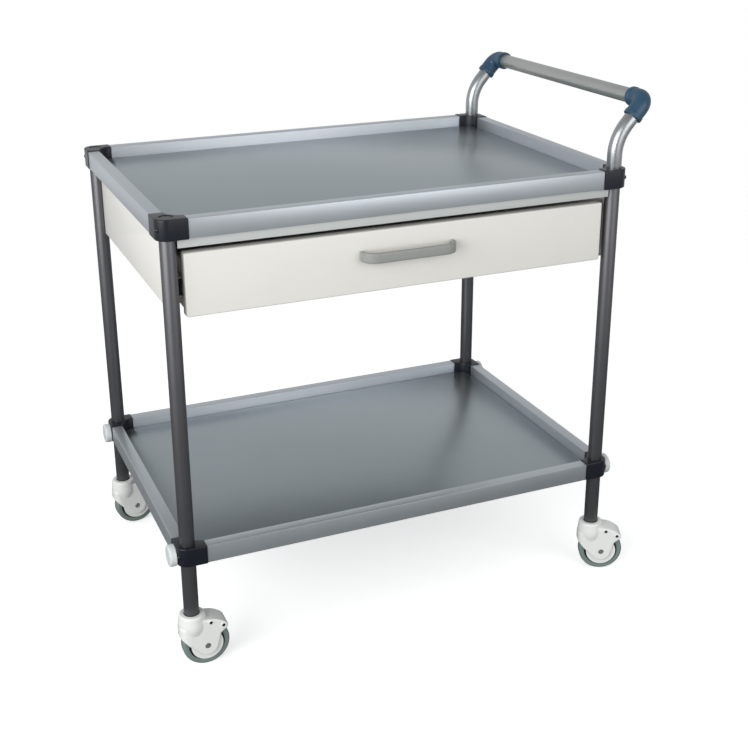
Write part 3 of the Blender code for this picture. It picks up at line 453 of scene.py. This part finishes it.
edges = {"rail": 0.9 * mm, "tray": 0.3 * mm, "sheet": 0.4 * mm, "railSteps": 3}
block = {"outer": 19.2 * mm, "inner": 3.2 * mm, "arm": 28 * mm, "height": 32.4 * mm, "rim": 1.6 * mm, "rimSteps": 5,
         "spigotInset": 3.1 * mm, "spigot": 16.8 * mm, "bore": 12.8 * mm, "cap": 3 * mm, "dish": 10.5 * mm,
         "dishDepth": 0.9 * mm, "smoothAngle": 35}
screw = {"radius": 3.5 * mm, "head": 2.4 * mm, "turn": 30, "sides": 32, "rings": 16}
blockTurns = {"front_left": 0, "front_right": 90, "rear_right": 180, "rear_left": -90}


def makeBlock():
    # Arms towards +X and +Y, round outside, with a hollow fillet inside and a spigot on each arm
    outer, inner, arm = block["outer"], block["inner"], block["arm"]
    half = block["height"] / 2
    piece = drawOutline("cornerBlock", (arm, -outer), [
        (0, -outer), ((0, 0), -90, arcSteps["large"]), (-outer, arm),
        (inner, arm), ((arm, arm), 90, arcSteps["medium"]), (arm, -outer)])
    fillOutline(-half, half)
    tidyMesh()
    for way in (along["x"], along["y"]):
        pick("FACE", lambda face: face.normal.dot(way) > facing and face.calc_center_median().dot(way) > arm - touch)
        bpy.ops.mesh.inset(thickness=block["spigotInset"])
        push(way * block["spigot"])
    pick("EDGE", lambda edge: isLevel(edge) and abs(edge.verts[0].co.z) > half - touch)
    bpy.ops.mesh.bevel(offset=block["rim"], segments=block["rimSteps"], affect="EDGES")
    closeMesh()
    return piece


def makeScrew():
    # A domed head, looking towards +X
    dome = addPiece("cornerScrew", bpy.ops.mesh.primitive_uv_sphere_add, segments=screw["sides"],
                    ring_count=screw["rings"], radius=screw["radius"])
    bpy.ops.transform.resize(value=(screw["head"] / screw["radius"], 1, 1), center_override=(0, 0, 0))
    closeMesh()
    return dome


def makeBlocks():
    plain, plainScrew = makeBlock(), makeScrew()
    half = block["height"] / 2
    for level in ("upper", "lower"):
        for name in cornerNames:
            node = f"{level}_corner_{name}"
            piece = copyOf(plain, niceName(node), Matrix.Identity(4))
            sameHand = name in ("front_left", "rear_right")
            angle = math.radians(180 + screw["turn"] if sameHand else 270 - screw["turn"])
            onBlock = Matrix.Rotation(angle, 4, "Z") @ Matrix.Translation((block["outer"], 0, 0))
            capped = level == "upper" and name.endswith("left")
            top = half - block["cap"] if capped else 2 * half
            carve(piece, rod("postBore", block["bore"], (0, 0, -2 * half), (0, 0, top)))
            if capped:
                carve(piece, rod("capDish", block["dish"], (0, 0, half - block["dishDepth"]), (0, 0, 2 * half)))
            place = middle(f"post_{name}")
            place.z = middle(node).z
            seat = Matrix.Translation(place) @ Matrix.Rotation(math.radians(blockTurns[name]), 4, "Z")
            piece.data.transform(seat)
            head = copyOf(plainScrew, niceName(f"{level}_screw_{name}"), seat @ onBlock)
            finishPiece(head, "blackScrew", [], body=frame["nodes"][node]["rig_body"])
            finishPiece(piece, "navyNylon", [node], block["smoothAngle"])
    bpy.data.objects.remove(plain)
    bpy.data.objects.remove(plainScrew)


makeBlocks()
for level in ("upper", "lower"):
    for side, finish in (("left", "anodisedAlongY"), ("right", "anodisedAlongY"),
                         ("front", "anodisedAlongX"), ("rear", "anodisedAlongX")):
        refine(f"{level}_rail_{side}", finish, edges["rail"], edges["railSteps"])
    refine(f"{level}_tray", "brushedSheet", edges["tray"])
print("frame made")


# Drawer, case and pull

pull = {"length": 164 * mm, "height": 17 * mm, "thickness": 7 * mm, "reach": 27 * mm, "bend": 19 * mm,
        "gap": 0.3 * mm, "edge": 3 * mm, "screwRadius": 2 * mm, "headRadius": 4 * mm, "head": 2.4 * mm,
        "grip": 7 * mm, "panel": 1.2 * mm, "overlap": 0.15 * mm, "sides": 24, "edgeSteps": 5, "edgeAngle": 50}
front = {"edge": 2.5 * mm, "edgeSteps": 5, "wall": 1.2 * mm, "return": 12.5 * mm}


def makePull():
    # A flat bar on edge that bows out from the drawer's front
    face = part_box("drawer_front")[0].y
    centre = middle("drawer_pull")
    foot = (pull["length"] - pull["thickness"]) / 2
    stub = pull["reach"] - pull["thickness"] / 2 - pull["bend"]
    start = Vector((centre.x - foot, face - pull["gap"], centre.z))
    piece = addPiece("drawerPull", bpy.ops.mesh.primitive_plane_add, size=1, location=start,
                     rotation=(math.pi / 2, 0, 0))
    bpy.ops.transform.resize(value=(pull["thickness"], 1, pull["height"]), center_override=tuple(start))
    push((0, -stub, 0))
    spinRound(start + Vector((pull["bend"], -stub, 0)), along["z"], 90, arcSteps["medium"])
    push((2 * (foot - pull["bend"]), 0, 0))
    spinRound(start + Vector((2 * foot - pull["bend"], -stub, 0)), along["z"], 90, arcSteps["medium"])
    push((0, stub, 0))
    tidyMesh()
    roundEdges(piece, pull["edge"], pull["edgeSteps"], pull["edgeAngle"])
    for sign in (-1, 1):
        spot = Vector((centre.x + sign * foot, face, centre.z))
        inside = spot + along["y"] * (pull["panel"] + pull["gap"])
        carve(piece, rod("screwShank", pull["screwRadius"], spot - along["y"] * pull["grip"],
                         inside + along["y"] * pull["overlap"], pull["sides"]), "UNION")
        carve(piece, rod("screwHead", pull["headRadius"], inside, inside + along["y"] * pull["head"],
                         pull["sides"]), "UNION")
    finishPiece(piece, "greyAbs", ["drawer_pull"])


def makeFront():
    # A folded sheet: rounded outside, open behind inside a narrow return
    low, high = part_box("drawer_front")
    size, centre = high - low, (low + high) / 2
    piece = addPiece("drawerFront", bpy.ops.mesh.primitive_cube_add, size=1, location=centre)
    bpy.ops.transform.resize(value=tuple(size), center_override=tuple(centre))
    roundEdges(piece, front["edge"], front["edgeSteps"])
    bpy.ops.object.mode_set(mode="EDIT")
    wall, inner = front["wall"], front["return"]
    rimSize = Vector((size.x, 0, size.z)) - Vector((1, 0, 1)) * 2 * (front["edge"] + inner)
    pick("FACE", lambda face: face.normal.y > facing)
    bpy.ops.mesh.inset(thickness=inner)
    push((0, -wall, 0))
    push((0, 0, 0))
    bpy.ops.transform.resize(value=((size.x - 2 * wall) / rimSize.x, 1, (size.z - 2 * wall) / rimSize.z),
                             center_override=(centre.x, high.y - wall, centre.z))
    push((0, 2 * wall - size.y, 0))
    pullPlace = middle("drawer_pull")
    foot = (pull["length"] - pull["thickness"]) / 2
    for sign in (-1, 1):
        spot = Vector((pullPlace.x + sign * foot, low.y, pullPlace.z))
        carve(piece, rod("pullHole", pull["screwRadius"] + pull["gap"], spot - along["y"] * over,
                         spot + along["y"] * 2 * over, pull["sides"]))
    finishPiece(piece, "creamPowderCoat", ["drawer_front"])


makePull()
makeFront()
refine("drawer_box", "creamPowderCoat", edges["sheet"])
refine("drawer_case", "creamPowderCoat", edges["sheet"])
refine("fascia_strip", "greyPowderCoat", edges["sheet"])
for side in ("left", "right"):
    refine(f"case_runner_{side}", "zincPlate", edges["tray"])
    refine(f"drawer_runner_{side}", "zincPlate", edges["tray"])
print("drawer made")


# End buffers

buffer = {"edge": 3 * mm, "recess": 5 * mm, "recessDepth": 4 * mm, "steps": 64}


def makeBuffers():
    low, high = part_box("end_buffer_front_left")
    radius, thick = (high.z - low.z) / 2, high.x - low.x
    edge, recess = buffer["edge"], buffer["recess"]
    pad = drawOutline("endBuffer", (0, thick - buffer["recessDepth"]), [
        (recess, thick - buffer["recessDepth"]), (recess, thick), (radius - edge, thick),
        ((radius - edge, thick - edge), -90, arcSteps["small"]), (radius, 0), (0, 0)])
    spinOutline(buffer["steps"])
    closeMesh()
    for name in cornerNames:
        node = f"end_buffer_{name}"
        low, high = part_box(node)
        right = name.endswith("right")
        seat = Vector((low.x if right else high.x, (low.y + high.y) / 2, (low.z + high.z) / 2))
        turn = Matrix.Rotation(-math.pi / 2 if right else math.pi / 2, 4, "Z")
        finishPiece(copyOf(pad, niceName(node), Matrix.Translation(seat) @ turn), "paleAbs", [node])
    bpy.data.objects.remove(pad)


makeBuffers()
print("buffers made")


# Castors, each modelled about its swivel axis and trailing towards +X

castor = {"axleHeight": 40 * mm, "trail": 20 * mm, "steps": 96}
hood = {"width": 38 * mm, "slot": 27 * mm, "slotRadius": 42.2 * mm, "crown": 49 * mm, "crownEnd": 95,
        "noseAngle": 38, "noseFoot": 30 * mm, "tip": 5 * mm, "edge": 2 * mm, "edgeSteps": 4, "leg": 18 * mm,
        "rear": -30.5 * mm, "limbTop": 20 * mm, "limbFoot": (-28 * mm, 3 * mm), "slantGap": 0.5 * mm,
        "headRadius": 23.3 * mm, "headTop": 98 * mm, "headEdge": 3 * mm, "neck": 21.4 * mm,
        "headSwell": ((22.4 * mm, 87 * mm), (23.1 * mm, 81 * mm), (22.7 * mm, 74 * mm), (20.6 * mm, 66 * mm),
                      (17.5 * mm, 59 * mm)),
        "skirtInset": 0.4 * mm, "skirtTop": 78 * mm, "skirtTurn": 13 * mm, "skirtEdge": 4 * mm,
        "voxel": 0.8 * mm, "smoothing": {"factor": 0.5, "iterations": 10},
        "recess": 13.5 * mm, "recessDepth": 4.5 * mm, "recessSides": 64,
        "pin": 5.8 * mm, "pinDepth": 10.5 * mm, "guard": 27 * mm, "guardDepth": 1.4 * mm,
        "axleRecess": 5.2 * mm, "axleRecessDepth": 2.6 * mm, "axleBore": 4.3 * mm}
# The plug sizes are for the black plugs that paint shade into the hood's holes
hole = {"reach": 43.2 * mm, "angles": (50, 81), "radius": 2.9 * mm, "depth": 4.8 * mm, "sides": 32,
        "rim": 4.6 * mm, "rimFoot": 2 * mm, "rimRise": 0.7 * mm, "rimEdge": 0.5 * mm,
        "plugGap": 0.05 * mm, "plugRise": 0.4 * mm}
wheel = {"radius": middle("tyre_front_left").z, "width": 22 * mm, "seat": 30.4 * mm, "shoulder": 5 * mm,
         "shoulderStep": 10, "lip": 0.7 * mm, "core": 30.1 * mm, "coreRim": 4 * mm, "coreHalf": 9.6 * mm,
         "web": 3.5 * mm, "hub": 10 * mm, "hubHalf": 11.8 * mm, "bore": 4.3 * mm}
axle = {"shaft": 4 * mm, "head": 5 * mm, "seat": 16.7 * mm, "headDepth": 2 * mm, "chamfer": 0.7 * mm,
        "dimple": 0.8 * mm, "dimpleRadius": 3 * mm}
stem = {"lift": 0.3 * mm, "flange": 2 * mm, "length": 46 * mm, "groove": 1.2 * mm, "plug": 10.2 * mm,
        "pin": 5.5 * mm, "pinLength": 10.5 * mm, "sides": 48}
axlePlace = Vector((castor["trail"], 0, castor["axleHeight"]))
upright = Matrix.Rotation(math.pi / 2, 4, "X")


def tangentAngle(point, radius, side):
    away = math.atan2(point[1], point[0])
    return math.degrees(away + side * math.acos(radius / math.hypot(*point)))


def polar(radius, degrees):
    return (radius * math.cos(math.radians(degrees)), radius * math.sin(math.radians(degrees)))


def acrossWheel(name, radius, low, high):
    return rod(name, radius, axlePlace + along["y"] * low, axlePlace + along["y"] * high, castor["steps"])


def makeHood():
    # Two cheeks and a crown over the wheel, run into a round head, as one soft moulding
    crown, leg, foot = hood["crown"], hood["leg"], hood["limbFoot"]
    nose = polar(hood["noseFoot"], hood["noseAngle"])
    legStart = tangentAngle(foot, leg, 1)
    legTurn = tangentAngle(nose, leg, -1) + 360 - legStart
    tip, crownEnd = hood["tip"], hood["crownEnd"]
    tipTurn = math.degrees(math.asin(tip / (crown - tip)))
    crownStart = hood["noseAngle"] + tipTurn
    back = -castor["trail"] - hood["headRadius"]
    run = (foot[0] - back) / (hood["limbTop"] - foot[1])
    knee = hood["limbTop"] - (hood["rear"] - back) / run
    piece = drawOutline("castorHood", polar(crown, crownStart), [
        ((0, 0), crownEnd - crownStart, arcSteps["large"]), (hood["rear"], crown), (hood["rear"], knee), foot,
        polar(leg, legStart), ((0, 0), legTurn, arcSteps["large"]), nose,
        polar(math.sqrt(crown * (crown - 2 * tip)), hood["noseAngle"]),
        (polar(crown - tip, crownStart), 90 + tipTurn, arcSteps["small"])])
    half = hood["width"] / 2
    fillOutline(-half, half)
    tidyMesh()
    pick("EDGE", isLevel)
    bpy.ops.mesh.bevel(offset=hood["edge"], segments=hood["edgeSteps"], affect="EDGES")
    closeMesh()
    piece.data.transform(Matrix.Translation(axlePlace) @ upright)

    # The round head and the skirt that runs from it into the cheeks
    headFoot = castor["axleHeight"] + foot[1]
    edge, radius, top = hood["headEdge"], hood["headRadius"], hood["headTop"]
    shoulder = hood["neck"] - edge
    head = drawOutline("castorHead", (0, top), [
        (shoulder, top), ((shoulder, top - edge), -90, arcSteps["small"]), *hood["headSwell"],
        (0, hood["headSwell"][-1][1])])
    spinOutline(castor["steps"])
    closeMesh()
    head.data.transform(upright)
    carve(piece, head, "UNION")
    side, turn = half - hood["skirtInset"], hood["skirtTurn"]
    skirt = drawOutline("headSkirt", (0, side), [
        (turn - radius, side), ((turn - radius, side - turn), 90, arcSteps["medium"]), (-radius, turn - side),
        ((turn - radius, turn - side), 90, arcSteps["medium"]), (0, -side), (0, side)])
    fillOutline(headFoot, hood["skirtTop"])
    tidyMesh()
    pick("EDGE", lambda edge: isLevel(edge) and edge.verts[0].co.z > hood["skirtTop"] - touch)
    bpy.ops.mesh.bevel(offset=hood["skirtEdge"], segments=hood["edgeSteps"], affect="EDGES")
    carve(piece, skirt, "UNION")

    # The slanted rear edge, cut across head and cheeks, and one soft skin over all of it
    slantTop = (back - hood["slantGap"], hood["limbTop"])
    slant = drawOutline("hoodSlant", slantTop, [
        (slantTop[0] + run * slantTop[1], 0), (2 * back, 0), (2 * back, slantTop[1]), slantTop])
    fillOutline(-2 * radius, 2 * radius)
    tidyMesh()
    closeMesh()
    slant.data.transform(Matrix.Translation(axlePlace) @ upright)
    carve(piece, slant)
    modify(piece, "REMESH", mode="VOXEL", voxel_size=hood["voxel"])
    modify(piece, "SMOOTH", **hood["smoothing"])

    # What stays sharp: the slot, the recess and bores, the guards inside and the rimmed holes
    slot = hood["slot"] / 2
    seat = top - hood["recessDepth"]
    carve(piece, acrossWheel("wheelSlot", hood["slotRadius"], -slot, slot))
    carve(piece, rod("postRecess", hood["recess"], (0, 0, seat), (0, 0, 2 * top), hood["recessSides"]))
    carve(piece, rod("pinHole", hood["pin"], (0, 0, seat - hood["pinDepth"]), (0, 0, 2 * top)))
    for side in (-1, 1):
        inner, outer = side * (slot - hood["guardDepth"]), side * (slot + over)
        carve(piece, acrossWheel("guardDisc", hood["guard"], min(inner, outer), max(inner, outer)), "UNION")
        for place, out in holePlaces(side):
            ring = rod("holeRim", hole["rim"], place - out * hole["rimFoot"], place + out * hole["rimRise"])
            roundEdges(ring, hole["rimEdge"])
            carve(piece, ring, "UNION")
            carve(piece, rod("hoodHole", hole["radius"], place - out * hole["depth"], place + out * half,
                             hole["sides"]))
        inner, outer = side * (half - hood["axleRecessDepth"]), side * 2 * half
        carve(piece, acrossWheel("axleRecess", hood["axleRecess"], min(inner, outer), max(inner, outer)))
    carve(piece, acrossWheel("axleBore", hood["axleBore"], -2 * half, 2 * half))
    return piece


def holePlaces(side):
    out = Vector((0, side, 0))
    for angle in hole["angles"]:
        reach, height = polar(hole["reach"], angle)
        yield axlePlace + Vector((reach, side * hood["width"] / 2, height)), out


def makeShadePlugs():
    # Black plugs of painted shade that stand a little out of the hood's four holes and darken them
    shadePlugs = []
    for side in (-1, 1):
        for place, out in holePlaces(side):
            shadePlugs.append(rod("holePlug", hole["radius"] - hole["plugGap"], place - out * hole["depth"],
                             place + out * hole["plugRise"], hole["sides"]))
    activate(shadePlugs[0])
    for plug in shadePlugs[1:]:
        plug.select_set(True)
    bpy.ops.object.join()
    return shadePlugs[0]


def makeRound(name, profile):
    # A profile of (radius, distance from the middle) and its mirror image, turned about the axle
    mirrored = [(radius, -reach) for radius, reach in reversed(profile)]
    piece = drawOutline(name, profile[0], profile[1:] + mirrored + [profile[0]])
    spinOutline(castor["steps"])
    closeMesh()
    piece.data.transform(Matrix.Translation(axlePlace))
    return piece


def makeTyre():
    half, radius, lip, shoulder = wheel["width"] / 2, wheel["radius"], wheel["lip"], wheel["shoulder"]
    quarter = [polar(shoulder, angle) for angle in range(90, -1, -wheel["shoulderStep"])]
    return makeRound("tyre", [(wheel["seat"], half - lip)] + [
        (radius - shoulder + x, half - shoulder + y) for x, y in quarter])


def makeCore():
    bore, hub, web = wheel["bore"], wheel["hub"], wheel["web"]
    rimFoot = wheel["core"] - wheel["coreRim"]
    return makeRound("wheelCore", [(bore, wheel["hubHalf"]), (hub, wheel["hubHalf"]), (hub, web), (rimFoot, web),
                                   (rimFoot, wheel["coreHalf"]), (wheel["core"], wheel["coreHalf"])])


def makeAxle():
    seat, end, head, chamfer = axle["seat"], axle["seat"] + axle["headDepth"], axle["head"], axle["chamfer"]
    return makeRound("castorAxle", [(0, end - axle["dimple"]), (axle["dimpleRadius"], end), (head - chamfer, end),
                                    (head, end - chamfer), (head, seat), (axle["shaft"], seat)])


def makeStem():
    # The plug that grips inside the post, its flange and the pin that the hood turns on
    flange = hood["headTop"] - hood["recessDepth"] + stem["lift"]
    base = flange + stem["flange"]
    top = base + stem["length"]
    centre = (base + top) / 2
    plug, groove, pin = stem["plug"], stem["groove"], stem["pin"]
    piece = drawOutline("castorStem", (0, top), [
        (plug - groove, top), (plug, top - 2 * groove), (plug, centre + groove), (plug - groove, centre),
        (plug, centre - groove), (plug, base), (tube["radius"], base), (tube["radius"], flange), (pin, flange),
        (pin, flange - stem["pinLength"]), (0, flange - stem["pinLength"])])
    spinOutline(stem["sides"])
    closeMesh()
    piece.data.transform(upright)
    return piece


def makeCastors():
    # The wheel core's black is painted shade for the dark gap inside the tyre
    models = {"castor_fork": (makeHood(), "whiteNylon"), "tyre": (makeTyre(), "greyRubber"),
              "wheel_core": (makeCore(), "shadeBlackNylon"), "castor_axle": (makeAxle(), "zincPlate"),
              "castor_stem": (makeStem(), "zincPlate")}
    shadePlugs = makeShadePlugs()
    for name in cornerNames:
        swivel = Vector(joints[f"castor_swivel_{name}"]["pos_m"])
        spin = Vector(joints[f"castor_spin_{name}"]["pos_m"])
        heading = math.atan2(spin.y - swivel.y, spin.x - swivel.x)
        floor = middle(f"tyre_{name}").z - castor["axleHeight"]
        matrix = Matrix.Translation((swivel.x, swivel.y, floor)) @ Matrix.Rotation(heading, 4, "Z")
        for kind, (model, finish) in models.items():
            node = f"{kind}_{name}"
            finishPiece(copyOf(model, niceName(node), matrix), finish, [node])
        # Black plugs in the hood's holes: painted shade
        plug = copyOf(shadePlugs, niceName(f"hole_plugs_{name}"), matrix)
        finishPiece(plug, "shadeBlackNylon", [], body=frame["nodes"][f"castor_fork_{name}"]["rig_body"])
    for model, finish in models.values():
        bpy.data.objects.remove(model)
    bpy.data.objects.remove(shadePlugs)


makeCastors()
print("castors made")


# Floor, light and camera

def makeLamp(name):
    light = bpy.data.lights.new(name, "AREA")
    light.shape = "RECTANGLE"
    light.size, light.size_y = softboxes[name]["size"]
    light.energy = softboxes[name]["watts"]
    lamp = bpy.data.objects.new(name, light)
    lamp.location = softboxes[name]["place"]
    lamp.rotation_euler = (Vector(softboxes[name]["aim"]) - lamp.location).to_track_quat("-Z", "Y").to_euler()
    bpy.context.scene.collection.objects.link(lamp)
    return lamp


def makeFloor():
    closeMesh()
    bpy.ops.mesh.primitive_plane_add(size=stage["floorSize"])
    floor = bpy.context.object
    floor.name = "studioFloor"
    material = bpy.data.materials.new("paleFloor")
    material.use_nodes = True
    tree = material.node_tree
    tree.nodes.clear()
    place = addNode(tree, "ShaderNodeTexCoord")
    reach = addNode(tree, "ShaderNodeVectorMath", links={0: place.outputs["Object"]})
    reach.operation = "LENGTH"
    fade = addNode(tree, "ShaderNodeMapRange", {"From Min": stage["fadeStart"], "From Max": stage["fadeEnd"]},
                   {"Value": reach.outputs["Value"]})
    path = addNode(tree, "ShaderNodeLightPath")
    bounce = addNode(tree, "ShaderNodeBsdfDiffuse", {"Color": toLinear(stage["bounceColour"])})
    pale = addNode(tree, "ShaderNodeBsdfPrincipled",
                   {"Base Color": toLinear(stage["floorColour"]), "Roughness": stage["floorRoughness"],
                    "Emission Color": (1, 1, 1, 1), "Emission Strength": stage["glow"]})
    paper = addNode(tree, "ShaderNodeMixShader", links={"Fac": path.outputs["Is Camera Ray"],
                                                        1: bounce.outputs["BSDF"], 2: pale.outputs["BSDF"]})
    clear = addNode(tree, "ShaderNodeBsdfTransparent")
    mix = addNode(tree, "ShaderNodeMixShader", links={"Fac": fade.outputs["Result"], 1: paper.outputs["Shader"],
                                                      2: clear.outputs["BSDF"]})
    addNode(tree, "ShaderNodeOutputMaterial", links={"Surface": mix.outputs["Shader"]})
    floor.data.materials.append(material)
    return floor


def makeWorld():
    # White to the camera, softer to everything else
    world = bpy.data.worlds.new("studioWorld")
    bpy.context.scene.world = world
    world.use_nodes = True
    tree = world.node_tree
    tree.nodes.clear()
    path = addNode(tree, "ShaderNodeLightPath")
    seen = addNode(tree, "ShaderNodeBackground", {"Color": (1, 1, 1, 1), "Strength": 1})
    way = addNode(tree, "ShaderNodeTexCoord")
    lean = addNode(tree, "ShaderNodeVectorMath", {1: stage["ambientLean"]}, {0: way.outputs["Generated"]})
    lean.operation = "DOT_PRODUCT"
    strength = addNode(tree, "ShaderNodeMath", {1: stage["ambientStrength"]}, {0: lean.outputs["Value"]})
    felt = addNode(tree, "ShaderNodeBackground", {"Color": toLinear(stage["ambient"])},
                   {"Strength": strength.outputs["Value"]})
    mix = addNode(tree, "ShaderNodeMixShader", links={"Fac": path.outputs["Is Camera Ray"],
                                                      1: felt.outputs["Background"], 2: seen.outputs["Background"]})
    addNode(tree, "ShaderNodeOutputWorld", links={"Surface": mix.outputs["Shader"]})


def makeCamera():
    data = bpy.data.cameras.new("photoCamera")
    data.sensor_width = view["sensor"]
    data.lens = view["lens"]
    data.shift_y = view["shift"]
    camera = bpy.data.objects.new("photoCamera", data)
    yaw, pitch, roll = (math.radians(view[key]) for key in ("yaw", "pitch", "roll"))
    turn = Matrix.Rotation(yaw, 4, "Z") @ Matrix.Rotation(math.pi / 2 - pitch, 4, "X") @ Matrix.Rotation(roll, 4, "Z")
    camera.matrix_world = Matrix.Translation(view["place"]) @ turn
    bpy.context.scene.collection.objects.link(camera)
    bpy.context.scene.camera = camera


stage = {"floorSize": 12, "fadeStart": 1.2, "fadeEnd": 3.5, "floorColour": "#fafafa", "floorRoughness": 0.9,
         "glow": 0.5, "bounceColour": "#8a8c8c", "ambient": "#f3f5f6", "ambientStrength": 0.62,
         "ambientLean": (0, 0.22, -0.2)}
softboxes = {"keySoftbox": {"place": (-3.2, -1.9, 1.6), "aim": (0, 0, 0.45), "size": (3.2, 2.4), "watts": 114},
             "fillSoftbox": {"place": (1.2, -3.2, 1.5), "aim": (0, 0, 0.5), "size": (3.0, 2.2), "watts": 40}}
view = {"place": (-0.7981, -1.9434, 1.2368), "yaw": -23.13, "pitch": 20.64, "roll": -0.23, "sensor": 36,
        "lens": 58.99, "shift": -0.06}
floor = makeFloor()
lamps = [makeLamp(name) for name in softboxes]
makeWorld()
makeCamera()
bpy.context.scene.view_settings.view_transform = "Standard"
print("stage set")
